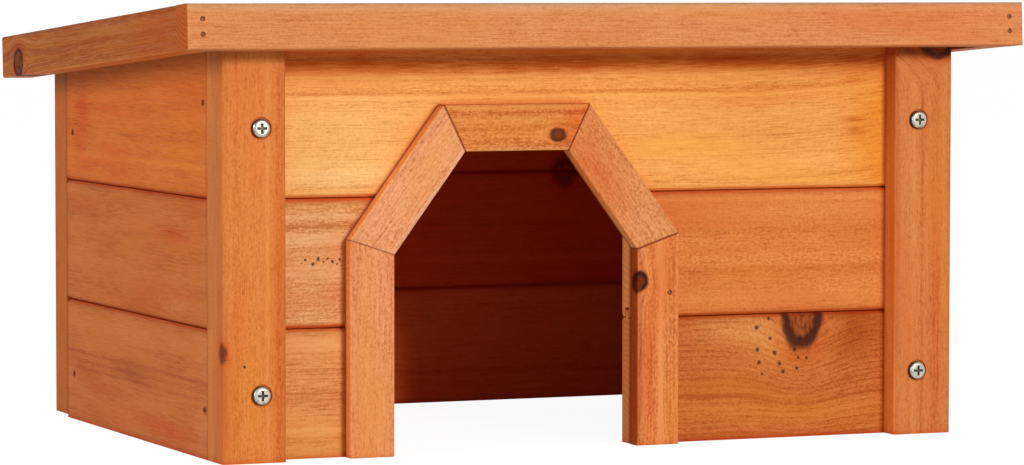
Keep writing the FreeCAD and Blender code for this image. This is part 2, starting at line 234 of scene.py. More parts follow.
# %% [markdown]
# ## The stain
# Brushed stain soaks into soft spring wood and sits on top of hard winter wood, pools along the edges of a
# board, and wears thin on corners that hands touch. One ground colour per board carries all of it: paler
# and deeper tones are that colour times a tint, so boards differ as they do in the photograph and still
# belong to one hut.

# %% Tints of one ground colour
# Some tints paint light and shade, not stain: the eave's shadow on the top board, shade on faces towards the
# room and on the right jamb's side, and light on the narrow sides of the strips and the right post. The tint
# for pooled stain also paints shade near seams and under the eave.
tints = {
    "pale": (1.12, 1.30, 1.55), "deep": (0.74, 0.55, 0.42), "pooled_stain_and_shade": (0.52, 0.30, 0.20),
    "joint": (0.42, 0.15, 0.07), "rust": (0.97, 0.66, 0.50), "amber": (1.05, 1.12, 0.66),
    "umber": (0.62, 0.54, 0.52), "ash": (1.02, 1.22, 1.60), "crevice": (0.86, 0.22, 0.05),
    "painted_eave_shadow": (0.54, 0.25, 0.07), "painted_shadow_brow": (1.13, 0.48, 0.13), "ember": (0.72, 0.50, 0.25),
    "end": (0.95, 0.66, 0.60), "dark_end_and_side_shade": (0.69, 0.36, 0.14), "heart": (0.62, 0.54, 0.58),
    "brown": (0.24, 0.115, 0.03), "bare": (1.65, 2.0, 2.6), "paler_grey": (0.76, 1.02, 1.35),
    "flame": (1.14, 1.45, 1.85), "honey": (0.92, 0.74, 0.36), "painted_room_shade": (1.0, 0.47, 0.40),
    "painted_side_light": (1.25, 1.25, 1.0),
}
bark = [0.040, 0.008, 0.005, 1.0]


def tinted(ground, tint):
    return [min(1.0, part * share) for part, share in zip(ground, tints[tint])] + [1.0]


print(len(tints), "tints of each board's ground colour")

# %% [markdown]
# ## What one board shows and its neighbour doesn't
# Four small lists tell boards apart: bands that run along the grain, patches where stain ran or wore off or
# where a shadow or highlight is painted, rows of flecks that the plane tore, and pricked dots. A fifth holds
# cuts: a dark line along a plane where two pieces meet, such as a mitre. At a mitre it is the dark joint;
# where a strip stands on the boards, or a board's doorway end meets a strip, it is stain and painted shade.

# %% Bands, patches, specks, dots and cuts
Band = namedtuple("Band", "across width shade")
Patch = namedtuple("Patch", "along across long wide tint amount")
Specks = namedtuple("Specks", "along_from along_to across_from across_to shade")
Dot = namedtuple("Dot", "along across radius")
Cut = namedtuple("Cut", "square_to at width amount looking", defaults=(None,))
fleck_long, fleck_wide, mitre_width = 2.0, 1.0, 0.8


def lay_bands(figure, grain, bands, cloud):
    for band in bands:
        figure = figure + hump(grain.across, band.across, band.width) * (cloud * 1.2 + 0.4) * band.shade
    return figure


def between(value, low, high, soft):
    return rise(value, low - soft, low + soft) * rise(value, high + soft, high - soft)


def lay_specks(figure, grain, rows, seed):
    for row in rows:
        window = between(grain.along, row.along_from, row.along_to, 3.0)
        window = window * between(grain.across, row.across_from, row.across_to, 1.0)
        flecks = rise(noise(grain, fleck_long, fleck_wide, seed + 21.0, detail=1.0), 0.50, 0.62)
        figure = figure + window * flecks * row.shade
    return figure


def nearest_dot(grain, dots):
    nearest = None
    for spot in dots:
        along, across = (grain.along - spot.along) / spot.radius, (grain.across - spot.across) / spot.radius
        away = along.math("SQRT", along * along + across * across)
        nearest = away if nearest is None else away.math("MINIMUM", nearest, away)
    return nearest


def lay_cuts(colour, place, facing, cuts, ground):
    for cut in cuts:
        away = dot(place, cut.square_to * millimetres) - cut.at
        line = rise(away.math("ABSOLUTE", away), cut.width, 0.1)
        if cut.looking:
            line = line * rise(dot(facing, cut.looking), 0.2, 0.8)
        colour = blend(line * cut.amount, colour, tinted(ground, "joint"))
    return colour


def mitre(inner, outer, amount=0.85):
    square_to = Vector((inner[1] - outer[1], 0, outer[0] - inner[0])).normalized()
    return Cut(square_to, square_to.dot(Vector((inner[0], 0, inner[1]))), mitre_width, amount)


print("a mitre at 45 degrees:", mitre((0.0, 0.0), (20.0, 20.0)))

# %% [markdown]
# ## Strengths of the effects
# Two boards of one stack differ mostly in how strong each effect is: wide or narrow rings, calm or torn
# fibres, little or much stain in the seams. A dozen strengths in one small record say that. The ordinary
# ones are its defaults, so a board names only what it does differently. The figure is then a plain sum:
# above nought a point turns deeper than the ground colour, below it paler. A Mix node clamps its factor, so
# the same sum can feed one mix as it is and another with its sign turned.

# %% Strengths and figure
ordinary = dict(spacing=2.6, lines=0.7, threads=0.6, streaks=2.3, fuzz=1.0, dashes=0.4, clouds=0.0,
                pooling=0.5, corners=0.6, seam=0.0, worn=0.0, sweep=(0.0, 0.0))
Look = namedtuple("Look", ordinary, defaults=ordinary.values())
ring_mean, figure_mean = 0.12, 0.05


def swept(grain, sweep):
    begins, bend = sweep
    if not bend:
        return grain
    beyond = grain.along.math("MAXIMUM", grain.along - begins, 0.0)
    return grain._replace(across=grain.across - beyond * beyond * bend)


def grain_figure(rings, fibre, look):
    figure = rings * (fibre.cloud * 1.1 - 0.15) * look.lines
    figure = figure + (fibre.threads - 0.5) * look.threads + (fibre.streaks - 0.5) * look.streaks
    figure = figure + (fibre.fuzz - 0.5) * look.fuzz + fibre.dashes * look.dashes
    if look.clouds:
        figure = figure + (fibre.cloud - 0.5) * look.clouds
    return figure - (ring_mean * look.lines + figure_mean)


print("ordinary strengths:", ordinary)

# %% [markdown]
# ## Stain laid over the figure
# On the real hut the stain went on last, so it is laid last here too: tones of the figure first, then
# patches, then knots, which drink the stain and stay dark. Corners and narrow gaps are darkened last, by
# stain that crept in there and by painted shade. Painting those by hand would take an image for every board;
# the Ambient Occlusion node finds them instead, since little open air reaches them.

# %% Tones, patches, knots, and stain and painted shade in corners
blush_span, blush_strength = (0.44, 0.56), 2.6
corner_reach, corner_from, corner_to = 0.004, 0.88, 0.5
crack_long, crack_wide, ripple_step = 7.0, 1.2, 0.16


def lay_tones(figure, fibre, ground):
    colour = blend(figure, ground + [1.0], tinted(ground, "deep"))
    colour = blend(-figure, colour, tinted(ground, "pale"))
    colour = blend((fibre.blush - blush_span[1]) * blush_strength, colour, tinted(ground, "rust"))
    return blend((blush_span[0] - fibre.blush) * blush_strength, colour, tinted(ground, "amber"))


def lay_patches(colour, grain, patches, fibre):
    for patch in patches:
        spread = hump(grain.along, patch.along, patch.long) * hump(grain.across, patch.across, patch.wide)
        mottle = fibre.cloud * 0.8 + fibre.streaks * 0.9 + 0.15
        colour = blend(spread * mottle * patch.amount, colour, tints[patch.tint] + (1.0,), how="MULTIPLY")
    return colour


def lay_knots(colour, grain, knots, ground, seed):
    sunk = None
    for number, knot in enumerate(knots):
        away = knot_distance(grain, knot, seed + number)
        turned = Grain(grain.across, grain.along, grain.deep)
        cracks = rise(noise(turned, crack_long, crack_wide, seed + 4.0 * number), 0.50, 0.60)
        inside = rise(away, 1.0 + knot.soft, 1.0 - knot.soft)
        ripple = rise(away.math("PINGPONG", away, ripple_step), 0.10, ripple_step)
        colour = blend(rise(away, 2.1, 1.0) * 0.6, colour, tints["rust"] + (1.0,), how="MULTIPLY")
        colour = blend(inside * 0.8, colour, tinted(ground, "heart"))
        colour = blend(inside * (cracks * 0.5 + ripple * 0.4 + knot.core), colour, tinted(ground, "brown"))
        rim = rise(away, 1.08 + knot.soft, 1.0) * rise(away, 0.78 - knot.soft, 0.86) * knot.rim
        colour = blend(rim, colour, bark)
        dip = rim * 0.6 + inside * cracks * 0.3
        sunk = dip if sunk is None else sunk + dip
    return colour, sunk


# stain and painted shade in corners and gaps, where the Ambient Occlusion node finds little open air
def lay_corner_stain_and_shade(colour, amount, ground):
    open_air = colour.node("AmbientOcclusion", {"samples": 8}, {"Distance": corner_reach}, output="AO")
    return blend(rise(open_air, corner_from, corner_to) * amount, colour, tinted(ground, "crevice"))


print("stain in corners narrower than", corner_reach * millimetres, "mm")

# %% [markdown]
# ## A stained board
# Everything meets here: grain directions, flow round knots, rings, fibres, stain. The list of what a board
# shows is given for each piece further down, because the real boards are all different, and the eye knows
# them by their knots and streaks. Rings and fibres also lift the surface a few hundredths of a millimetre,
# and the late wood is smoother than the rest, which gives the satin sheen its life.

# %% Stained wood
tongue_length, seed_step = 3.5, 3.7
satin, faint_gloss, relief_strength, relief_metres = 0.66, 0.08, 0.5, 0.00016
worn_edge, pooled_edge, pooled_end, seam_full = (1.3, 0.5), (3.6, 0.6), (4.5, 0.4), 0.1
facing_end, facing_side = (0.5, 0.85), (0.4, 0.8)


def face_of(name, across):
    low, high = reach(name, across)
    tongued = "_board_" in name and not name.endswith(("_top", "_rear"))
    return low, high - tongue_length if tongued else high


def dress(piece, material):
    piece.data.materials.clear()
    piece.data.materials.append(material)


def stained_wood(name, run, across, ground, heart=(70.0, 12.0), sides=(), ends="end", knots=(), bands=(),
                 patches=(), specks=(), dots=(), cuts=(), **strengths):
    look = Look(**strengths)
    material, start = new_material(name + "_wood")
    seed = seed_step * sorted(nodes).index(name)
    deep_way = run.cross(across)
    place = start.node("TexCoord", output="Object")
    facing = start.node("TexCoord", output="Normal")
    straight = Grain(*(dot(place, axis * millimetres) for axis in (run, across, deep_way)))
    (first, last), (low, high) = reach(name, run), face_of(name, across)
    edge = start.math("MINIMUM", straight.across - low, high - straight.across)
    end = start.math("MINIMUM", straight.along - first, last - straight.along)

    grain = swept(flow_round(straight, knots), look.sweep)
    pith = ((low + high) / 2 + heart[0], sum(reach(name, deep_way)) / 2 + heart[1])
    rings, fibre = year_rings(grain, pith, look.spacing, seed), fibres(grain, seed)
    figure = lay_bands(grain_figure(rings, fibre, look), grain, bands, fibre.cloud)
    figure = lay_specks(figure, grain, specks, seed)
    if look.worn:
        figure = figure - rise(edge, *worn_edge) * (fibre.streaks * 1.6) * look.worn

    colour = lay_patches(lay_tones(figure, fibre, ground), straight, patches, fibre)
    # stain pools along edges and ends; near the seams the same darkening also paints the shade at the boards'
    # lips
    pooled_stain_and_shade = rise(edge, *pooled_edge) + rise(end, *pooled_end) * 0.5
    pooled_stain_and_shade = pooled_stain_and_shade * (fibre.cloud * 1.4 - 0.2) * look.pooling
    colour = blend(pooled_stain_and_shade, colour, tinted(ground, "pooled_stain_and_shade"))
    if look.seam:
        seamed = rise(edge, 1.0 + 2.0 * look.seam, seam_full) * look.seam
        colour = blend(seamed, colour, tinted(ground, "crevice"))
    sunk = pooled_stain_and_shade * 0.3 + fibre.dashes * 0.4
    if knots:
        colour, dips = lay_knots(colour, straight, knots, ground, seed)
        sunk = sunk + dips
    if dots:
        pricked = rise(nearest_dot(straight, dots) + (fibre.fuzz - 0.5) * 1.6, 1.3, 0.5)
        colour = blend(pricked * 0.85, colour, bark)
        sunk = sunk + pricked * 0.6
    end_grain = rise(start.math("ABSOLUTE", dot(facing, run)), *facing_end)
    colour = blend(end_grain * (0.75 + rings * 0.25), colour, tinted(ground, ends))
    for side, tint in sides:
        colour = blend(rise(dot(facing, side), *facing_side), colour, tints[tint] + (1.0,), how="MULTIPLY")
    colour = lay_cuts(lay_corner_stain_and_shade(colour, look.corners, ground), place, facing, cuts, ground)

    height = rings * 0.4 + fibre.fuzz * 0.5 + fibre.streaks * 0.6 - sunk
    relief = start.node("Bump", None, {
        "Strength": relief_strength, "Distance": relief_metres, "Height": height})
    roughness = satin + (fibre.streaks - 0.5) * 0.4 - rings * 0.08 + end_grain * 0.2 + sunk * 0.1
    surface = start.node("BsdfPrincipled", None, {
        "Base Color": colour, "Roughness": roughness, "Normal": relief, "Specular IOR Level": faint_gloss})
    start.node("OutputMaterial", None, {"Surface": surface})
    dress(nodes[name], material)


boards = [name for name in nodes if "_board_" in name and not name.endswith("_nails")]
print("stained_wood is ready for", len(boards), "boards and the rest")

# %% [markdown]
# ## The top board of the front
# The front is what a buyer sees first, so its five boards are set down one by one. The long top board is the
# yellowest: rows of short dark dashes run under the eave, honey yellow gathers at its right end, and along
# its upper edge the eave's shadow is painted in as a deep red brown band. What all front boards share, such
# as stain in their seams, bare wood at the doorway's sawn ends, and painted shade on their room side and on
# those ends next to the strips, is written down once.

# %% Top board of the front
boards_face, end_shade_depth = -102.889, 5.0
# painted shade on the boards' faces towards the room
board = dict(seam=0.36, corners=0.42, sides=[(back_way, "painted_room_shade")], ends="bare",
             # painted shade on the doorway ends of the boards, in a band next to the front face where the
             # strips stand
             cuts=[Cut(back_way, boards_face, end_shade_depth, 0.95, -right_way)])
stained_wood("front_board_top", right_way, up_way, [0.855, 0.366, 0.086], heart=(-62.0, -8.0),
             sweep=(60.0, 0.0006), lines=0.2, threads=1.2, streaks=2.0, fuzz=1.3,
             bands=[Band(165.2, 0.8, -0.5), Band(155.9, 0.8, -0.5), Band(158.2, 1.0, 0.5),
                    Band(148.0, 2.5, -0.2), Band(124.0, 3.5, -0.15), Band(137.0, 1.0, 0.25),
                    Band(117.5, 1.5, 0.3)],
             patches=[Patch(150, 136, 19, 30, "honey", 1.6), Patch(-118, 138, 44, 26, "ash", 0.9),
                      Patch(-118, 121.5, 44, 6.0, "ash", 0.9), Patch(90, 145, 60, 50, "umber", 0.25),
                      # the next two patches are the painted shadow of the eave: a deep red brown band under
                      # it, darkest at the top
                      Patch(0, 170.4, 400, 5.1, "painted_eave_shadow", 1.0), Patch(0, 182.9, 400, 9.0, "painted_shadow_brow", 1.0),
                      Patch(90, 156, 75, 8, "honey", 0.33), Patch(131, 144, 6, 1.3, "ember", 0.9),
                      Patch(132, 139, 4, 2, "ember", 0.8)],
             specks=[Specks(-140, 140, 157.5, 161.5, 0.4), Specks(60, 140, 147.0, 151.0, 0.3)], **board)
print("top board from", [round(end, 1) for end in reach("front_board_top", up_way)], "mm above the ground")

# %% [markdown]
# ## The middle boards of the front
# The doorway cuts the two lower rows in half. The left half of the middle row has the strongest streaks and
# a row of small dark tears left by the plane; the right half is calmer, with pale flecks along its middle.
# Tears could be an image; a list of dots, each with a place and a radius, stays sharp at any size.

# %% Middle boards of the front
wide_seam = dict(board, seam=0.85)
torn = [Dot(x, z, radius) for x, z, radius in (
    (-137.0, 85.0, 0.4), (-135.2, 86.4, 0.6), (-131.6, 84.6, 0.8), (-129.2, 86.6, 0.9), (-126.8, 85.4, 0.5),
    (-124.9, 86.8, 0.6), (-122.6, 85.2, 0.8), (-120.4, 84.2, 0.5), (-119.2, 86.2, 0.6))]
stained_wood("front_board_middle_left", right_way, up_way, [0.708, 0.310, 0.112], heart=(48.0, -14.0),
             streaks=3.8, fuzz=3.0,
             bands=[Band(100.8, 1.6, 1.2), Band(95.0, 3.0, -0.9), Band(91.3, 0.7, 0.6), Band(81.0, 3.0, -0.5),
                    Band(68.0, 5.0, 0.3), Band(105.0, 1.2, -0.6), Band(109.5, 1.4, 0.5)],
             dots=torn, specks=[Specks(-140, -117, 82.5, 89.0, -1.6)], **wide_seam)
stained_wood("front_board_middle_right", right_way, up_way, [0.645, 0.192, 0.043], heart=(66.0, 20.0),
             streaks=1.8, lines=0.35, fuzz=2.2,
             bands=[Band(109.0, 1.2, -0.7), Band(103.0, 3.0, -0.3), Band(94.0, 2.0, 0.35),
                    Band(76.5, 2.4, 0.4), Band(64.0, 3.0, -0.4)],
             patches=[Patch(90, 103, 45, 4, "ash", 0.35)],
             specks=[Specks(42, 147, 79.0, 84.0, -1.3), Specks(42, 55, 86.0, 91.0, -0.9),
                     Specks(42, 120, 87.0, 94.0, -0.4), Specks(112, 147, 65.0, 72.0, -0.7)], **board)
print(len(torn), "tears in the middle left board")

# %% [markdown]
# ## The low boards of the front
# The low right board is the reddest and the liveliest: its upper edge cuts through a knot, the rings bend
# round it in pale arches, and small pricks are strewn below. The knot is given as a whole ellipsoid whose
# upper half lies outside the board, so the edge cuts it as the saw did.

# %% Low boards of the front
stained_wood("front_board_low_left", right_way, up_way, [0.72, 0.286, 0.083], heart=(-58.0, 10.0),
             streaks=2.6, fuzz=1.6,
             bands=[Band(49.5, 2.6, -0.9), Band(27.5, 5.5, 0.55), Band(12.0, 1.3, -0.9), Band(8.0, 1.2, 0.5),
                    Band(38.0, 1.0, 0.4)], **board)
half_knot = Knot(105.0, 57.0, 9.4, 15.6, 0.9, 0.2, 0.22)
pricks = [Dot(x, z, radius) for x, z, radius in (
    (82.3, 50.3, 1.1), (89.1, 45.2, 0.8), (88.4, 54.4, 0.9), (82.7, 40.4, 1.0), (91.5, 38.8, 1.1),
    (101.4, 39.8, 1.0), (83.6, 34.5, 1.0), (93.8, 33.7, 1.0), (103.3, 36.2, 0.8), (107.7, 35.8, 0.7),
    (95.7, 30.0, 1.0), (102.7, 31.3, 0.8), (85.2, 29.3, 0.7))]
stained_wood("front_board_low_right", right_way, up_way, [0.535, 0.1435, 0.0273], heart=(-70.0, -16.0),
             spacing=2.7, lines=1.5, streaks=3.0, fuzz=3.0,
             knots=[half_knot], dots=pricks,
             bands=[Band(20.0, 1.0, 0.9), Band(14.0, 3.0, -0.5), Band(27.0, 3.0, 0.25)],
             patches=[Patch(74, 50, 20, 6, "flame", 1.5), Patch(88, 42, 12, 8, "flame", 0.9),
                      Patch(124, 50, 9, 5, "flame", 0.7), Patch(134, 48, 14, 12, "ember", 1.1),
                      Patch(90, 12, 60, 6, "amber", 0.5)],
             specks=[Specks(96, 118, 35.0, 42.0, -0.9)], **board)
print("half knot", 2 * half_knot.long, "mm across,", len(pricks), "pricks below it")

# %% [markdown]
# ## Left wall
# The sides are the same stock, a little browner, with a few rusty patches where stain ran. Seen at a flat
# angle their fibres close up and only soft clouds are left, so clouds are strong here and streaks weak. A
# thin dark line marks where the boards meet the rear post.

# %% Left wall
rear_post_edge = 109.9
# the faces towards the room get a deeper, rustier tint: painted shade
left_side = dict(seam=0.32, sides=[(right_way, "rust")], streaks=1.6, threads=0.9, lines=0.5, clouds=1.7,
                 corners=0.45, cuts=[Cut(back_way, rear_post_edge, 1.3, 0.45)])
stained_wood("left_board_top", back_way, up_way, [0.646, 0.157, 0.0225], heart=(-60.0, 14.0),
             bands=[Band(126.0, 1.3, -0.8), Band(137.0, 2.0, 0.3)],
             patches=[Patch(-60, 140, 34, 16, "amber", 0.6), Patch(86, 146, 11, 7, "rust", 1.3),
                      Patch(92, 130, 9, 9, "rust", 0.9), Patch(76, 122, 14, 3, "rust", 0.9),
                      Patch(40, 148, 30, 5, "rust", 0.4)],
             dots=[Dot(101.1, 135.7, 1.7), Dot(-87.6, 154.5, 1.7)], **left_side)
stained_wood("left_board_middle", back_way, up_way, [0.558, 0.145, 0.0285], heart=(54.0, -12.0),
             bands=[Band(86.0, 2.0, 0.3), Band(76.0, 3.0, -0.3)],
             patches=[Patch(-48, 95, 26, 4, "rust", 0.9), Patch(-57, 65, 16, 4, "ash", 0.6),
                      Patch(95, 85, 16, 20, "ash", 0.4), Patch(-92, 85, 8, 40, "ash", 0.5)],
             specks=[Specks(-62, -20, 62.0, 68.0, -0.6)], **left_side)
stained_wood("left_board_low", back_way, up_way, [0.570, 0.156, 0.035], heart=(-52.0, -18.0),
             bands=[Band(46.0, 5.0, -0.4), Band(33.0, 1.2, 0.7), Band(29.0, 1.0, 0.6), Band(25.5, 1.2, 0.5)],
             patches=[Patch(8, 30, 38, 5, "umber", 0.5), Patch(-10, 8, 80, 4, "rust", 0.6),
                      Patch(-86, 10, 7, 8, "ash", 0.9), Patch(-92, 40, 8, 16, "ash", 0.5)],
             dots=[Dot(99.6, 21.6, 1.7), Dot(-90.1, 21.3, 1.7)], **left_side)
print("three boards on the left, meeting the rear post", rear_post_edge, "mm back")

# %% [markdown]
# ## Right wall
# This side isn't in the photograph. Its boards get quieter figure of the same kind, and one knot, so that
# the wall doesn't look painted when the hut is turned.

# %% Right wall
side_ground = [0.60, 0.150, 0.036]
# the faces towards the room get a deeper, rustier tint: painted shade
right_side = dict(seam=0.32, sides=[(-right_way, "rust")])
stained_wood("right_board_top", back_way, up_way, side_ground, heart=(58.0, -10.0),
             bands=[Band(128.0, 1.6, -0.6), Band(140.0, 2.0, 0.4)],
             patches=[Patch(30, 146, 40, 6, "rust", 0.6)], **right_side)
stained_wood("right_board_middle", back_way, up_way, side_ground, heart=(-64.0, 16.0),
             knots=[Knot(36.0, 84.0, 6.5, 5.0)],
             bands=[Band(72.0, 2.0, 0.4), Band(100.0, 3.0, -0.4)], **right_side)
stained_wood("right_board_low", back_way, up_way, side_ground, heart=(50.0, 18.0),
             bands=[Band(40.0, 3.0, -0.5), Band(20.0, 2.0, 0.5)],
             patches=[Patch(-40, 30, 30, 7, "amber", 0.6)], **right_side)
print("three boards on the right")

# %% [markdown]
# ## Back wall
# The back wall is seen through the doorway, where its room side is a deep red brown: less light reaches in,
# and that shade is painted into the colour of the faces towards the room. One knot lies across a seam. Both
# boards get the same ellipsoid, so the two halves meet by themselves.

# %% Back wall
back_ground = [0.88, 0.176, 0.037]
# painted shade on the back boards' faces towards the room
back_side = dict(seam=0.45, sides=[(-back_way, "painted_room_shade")], streaks=1.4, lines=0.4)
seam_knot = Knot(81.0, 113.0, 6.0, 7.0, 0.25, 0.35, 0.4)
stained_wood("back_board_top", right_way, up_way, back_ground, heart=(-60.0, 12.0), knots=[seam_knot],
             bands=[Band(138.0, 2.0, 0.4), Band(126.0, 2.5, -0.4)], **back_side)
stained_wood("back_board_middle", right_way, up_way, back_ground, heart=(62.0, -14.0),
             knots=[seam_knot], bands=[Band(88.0, 3.0, 0.3), Band(70.0, 2.0, -0.4)], **back_side)
stained_wood("back_board_low", right_way, up_way, [1.0, 0.330, 0.090], heart=(-56.0, -10.0),
             bands=[Band(34.0, 3.0, -0.3), Band(15.0, 2.0, 0.4)],
             patches=[Patch(-60, 30, 50, 8, "amber", 0.5)], **back_side)
print("three boards at the back, knot at", seam_knot.along, seam_knot.across)

# %% [markdown]
# ## Posts and battens
# The corner posts are finer grained and redder than the boards, and their grain stands upright. The left
# front post has a knot right on its corner, so it is given in depth too and shows on both faces; the right
# one has the foot of a knot under the eave, and the eave's shadow is painted across its top. Where the boards
# run in behind them, the corners are darkened by stain and painted shade; the left post's face towards the
# room gets painted shade, and the right post's left side gets painted light. The battens inside the corners
# are rough sawn and took less stain.

# %% Posts and battens
post = dict(spacing=1.7, lines=0.15, threads=0.4, streaks=1.5, fuzz=1.9, corners=0.4, worn=0.1)
stained_wood("front_post_left", up_way, right_way, [0.66, 0.203, 0.0445], heart=(40.0, 16.0),
             # painted shade on the post's face towards the room
             sides=[(back_way, "painted_room_shade")],
             knots=[Knot(47.6, -176.5, 4.4, 2.5, 0.0, 0.8, 0.35, -111.0, 2.8)],
             bands=[Band(-156.0, 1.0, -0.6), Band(-151.0, 1.2, 0.5), Band(-170.0, 1.6, 0.3)],
             patches=[Patch(60, -151, 70, 3.5, "rust", 0.7), Patch(30, -164, 30, 7, "amber", 0.6)],
             dots=[Dot(41.9, -166.7, 0.7)], **post)
stained_wood("front_post_right", up_way, right_way, [0.61, 0.188, 0.047], heart=(-38.0, 18.0),
             # painted light on the post's left side face, as bright as its front
             sides=[(-right_way, "painted_side_light")],
             knots=[Knot(179.0, 168.5, 6.5, 8.0, 0.75, 0.3, 0.25)],
             bands=[Band(168.5, 3.0, 0.4), Band(157.0, 1.2, -0.4), Band(161.5, 0.9, 0.6)],
             # the two patches 176 mm up paint the eave's shadow across the top of the post
             patches=[Patch(60, 168, 60, 4, "rust", 0.6), Patch(176, 162, 4, 40, "pooled_stain_and_shade", 0.9),
                      Patch(176, 171, 4, 7, "pooled_stain_and_shade", 1.6)], sweep=(158.0, -0.045), **post)
stained_wood("rear_post_left", up_way, back_way, [0.515, 0.130, 0.0175], heart=(40.0, -12.0), **post)
stained_wood("rear_post_right", up_way, back_way, [0.58, 0.170, 0.045], heart=(-36.0, 12.0), **post)

batten = dict(ground=[0.70, 0.31, 0.13], heart=(24.0, 9.0), spacing=2.8, lines=1.5, pooling=0.2)
for corner in ("front_batten_left", "front_batten_right", "rear_batten_left", "rear_batten_right"):
    stained_wood(corner, up_way, right_way, **batten)
print("four posts, four battens")

# %% [markdown]
# ## Doorway surround
# Five strips are mitred round the doorway and nailed from behind. They are cut from slower grown wood with a
# fuzzy, pinkish surface, and the right jamb's side towards the doorway gets painted shade. The head strip has
# a small knot near its right mitre, and the right jamb a dark one on its inner edge, where a gnawing animal
# would start. A mitre is a line between two corner points, so each one is worked out once and given to both
# strips that meet there.

# %% Mitres of the surround
left_shoulder, right_shoulder = mitre((-96.5, 88.0), (-117.0, 94.84), 0.3), mitre((19.5, 88.0), (40.0, 94.84))
left_peak, right_peak = mitre((-63.1, 132.5), (-73.34, 153.0)), mitre((-13.9, 132.5), (-3.66, 153.0))
strip = dict(spacing=1.6, threads=0.6, dashes=0.2, pooling=0.15, corners=0.3, worn=0.35)
fuzzy, coarse = dict(lines=0.3, streaks=2.8, fuzz=3.2), dict(lines=0.45, streaks=3.0, fuzz=3.8)
slant_inward, far_inward = Vector((0.8, 0, -0.6)), Vector((-0.8, 0, -0.6))


def both_ways(side):
    return [(side, "painted_side_light"), (-side, "painted_side_light")]


# stain and painted shade along the foot of a strip, where it stands on the boards
def shaded_foot(looking):
    return Cut(back_way, boards_face, 2.6, 0.9, looking)


print("shoulder mitres", [round(cut.at, 1) for cut in (left_shoulder, right_shoulder)], "mm from the origin")

# %% [markdown]
# ## The five strips
# The strips to the left are fuzzy and pale, the head and the strips to the right coarser. Their narrow sides
# catch light from the boards, and that light is painted on them as a brighter tint, apart from the right
# jamb's side towards the doorway, which gets painted shade instead. A dark foot shows where they stand on the
# boards: stain and painted shade.

# %% Strips of the surround
# a painted highlight runs along the left slant's eased inner edge
highlit_inner_edge = reach("door_slant_left", slant_inward)[1] - 0.8
stained_wood("door_jamb_left", up_way, right_way, [0.708, 0.252, 0.093], heart=(34.0, 14.0),
             sides=both_ways(right_way),
             bands=[Band(-113.5, 1.2, 0.3), Band(-104.0, 2.0, -0.3)],
             cuts=[left_shoulder, shaded_foot(-right_way)], **strip, **fuzzy)
stained_wood("door_jamb_right", up_way, right_way, [0.68, 0.218, 0.058], heart=(-34.0, 14.0),
             # painted shade on the jamb's side towards the doorway
             sides=[(-right_way, "dark_end_and_side_shade"), (right_way, "painted_side_light")],
             knots=[Knot(73.6, 21.0, 3.5, 3.0, 1.0, 0.9, 0.5, -110.5, 4.6),
                    Knot(72.0, 19.6, 3.4, 2.0, 0.5, 1.0, 0.3, -109.0, 4.0)],
             bands=[Band(31.0, 1.3, -1.3), Band(26.5, 1.8, 0.5), Band(36.0, 2.0, 0.5), Band(22.5, 1.0, -0.5)],
             patches=[Patch(30, 24, 40, 5, "rust", 0.7), Patch(45, 20.5, 70, 2.0, "umber", 0.6)],
             cuts=[right_shoulder, shaded_foot(-right_way)], **strip, **coarse)
stained_wood("door_head", right_way, up_way, [0.655, 0.216, 0.049], heart=(30.0, 12.0),
             sides=[(-up_way, "painted_side_light")],
             knots=[Knot(-19.2, 139.2, 3.5, 2.8, 0.6, 0.9, 0.3)],
             bands=[Band(151.5, 1.0, -0.8), Band(149.0, 0.9, 1.0), Band(146.0, 1.6, -0.5),
                    Band(142.0, 1.0, 0.5), Band(136.5, 1.6, 0.4)],
             # the thin pale patch just above the lower edge is a painted highlight on its eased arris
             patches=[Patch(-10, 144, 8, 12, "rust", 1.0), Patch(-38, 133.2, 60, 0.8, "ash", 1.4)],
             cuts=[left_peak, right_peak], **strip, **coarse)
stained_wood("door_slant_left", slant_left, slant_inward, [0.735, 0.293, 0.120], heart=(32.0, 12.0),
             patches=[Patch(100, highlit_inner_edge, 200, 0.9, "ash", 1.2)], sides=both_ways(slant_inward),
             cuts=[left_shoulder, left_peak, shaded_foot(-slant_inward)], **strip, **fuzzy)
stained_wood("door_slant_right", slant_right, -far_inward, [0.650, 0.229, 0.067], heart=(-32.0, 12.0),
             patches=[Patch(66, 79, 14, 9, "ash", 0.6), Patch(102, 73, 14, 5, "rust", 0.6)],
             sides=both_ways(far_inward),
             cuts=[right_shoulder, right_peak, shaded_foot(far_inward)], **strip, **coarse)
print("five strips round the doorway")

# %% [markdown]
# ## Fascias
# Three fascias stand round the deck of the roof. The front one is pinkish along its middle, paler and greyer
# along its upper edge and darker at its sawn ends, and the left one has a brown knot near its rear end. The
# roof falls to the back, so the side ones get their grain along that fall.

